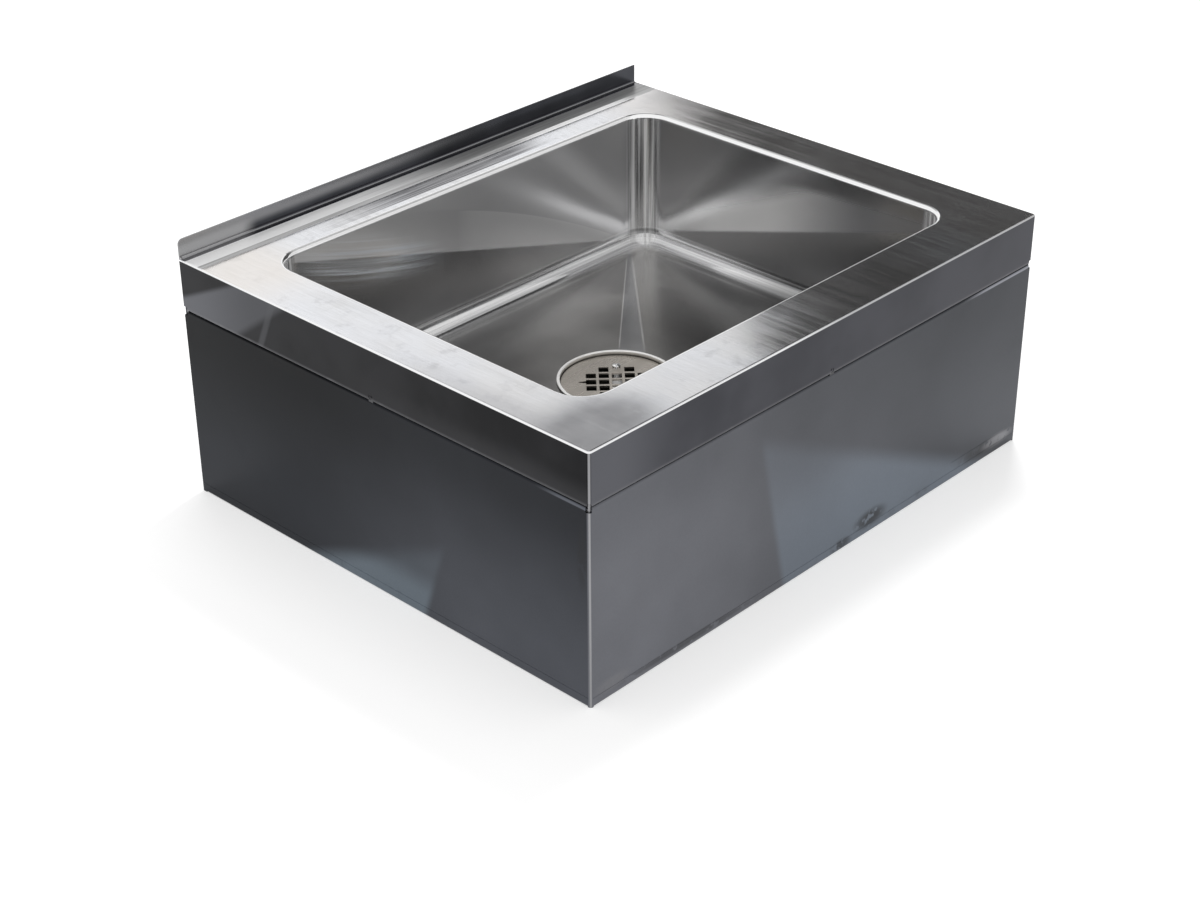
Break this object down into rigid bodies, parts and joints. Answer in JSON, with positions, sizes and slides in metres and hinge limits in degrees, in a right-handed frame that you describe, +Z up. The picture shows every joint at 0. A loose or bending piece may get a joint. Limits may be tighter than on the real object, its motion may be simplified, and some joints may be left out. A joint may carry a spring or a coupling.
{
  "type": "mop service sink",
  "caption": "Floor-standing steel mop sink: deep coved bowl in a folded deck with a rear upstand, skirt panels to the floor, and a drain with a lift-out strainer plate.",
  "frame": {"origin": "centre of the footprint on the floor", "axes": "+X along the long front side to the right, +Y to the rear, towards the wall and the upstand, +Z up"},
  "size_m": [0.635, 0.5334, 0.274],
  "materials": {
    "deck_steel": "brushed front to rear, dull dark aprons and upstand",
    "bowl_steel": "satin, polished rim and coves",
    "front_steel": "dark, finely ground",
    "side_steel": "dark, finely ground",
    "inner_steel": "mill finish",
    "weld_steel": "as welded, ground",
    "pad_rubber": "matte",
    "drain_chrome": "polished",
    "seal_rubber": "matte",
    "ring_plastic": "matte",
    "nut_brass": "cast, turned faces",
    "bar_steel": "bright",
    "strainer_steel": "polished",
    "screw_steel": "bright"
  },
  "bodies": {
    "sink": {"deck_top": "deck_steel", "sink_bowl": "bowl_steel", "front_skirt": "front_steel", "left_skirt": "side_steel", "right_skirt": "side_steel", "rear_skirt": "front_steel", "front_left_corner_angle": "inner_steel", "front_right_corner_angle": "inner_steel", "rear_left_corner_angle": "inner_steel", "rear_right_corner_angle": "inner_steel", "front_deck_channel": "inner_steel", "rear_deck_channel": "inner_steel", "left_sound_pad": "pad_rubber", "right_sound_pad": "pad_rubber", "seam_tack_welds": "weld_steel", "drain_body": "drain_chrome", "flange_gasket": "seal_rubber", "seal_washer": "seal_rubber", "friction_ring": "ring_plastic", "lock_nut": "nut_brass", "strainer_crossbar": "bar_steel", "tailpiece_washer": "ring_plastic", "coupling_nut": "drain_chrome", "tailpiece": "drain_chrome"},
    "strainer": {"strainer_plate": "strainer_steel", "strainer_screws": "screw_steel"}
  },
  "joints": [
    {"name": "strainer_lift", "type": "slide", "parent": "sink", "child": "strainer", "axis": [0, 0, 1], "range_m": [0, 0.2]}
  ]
}
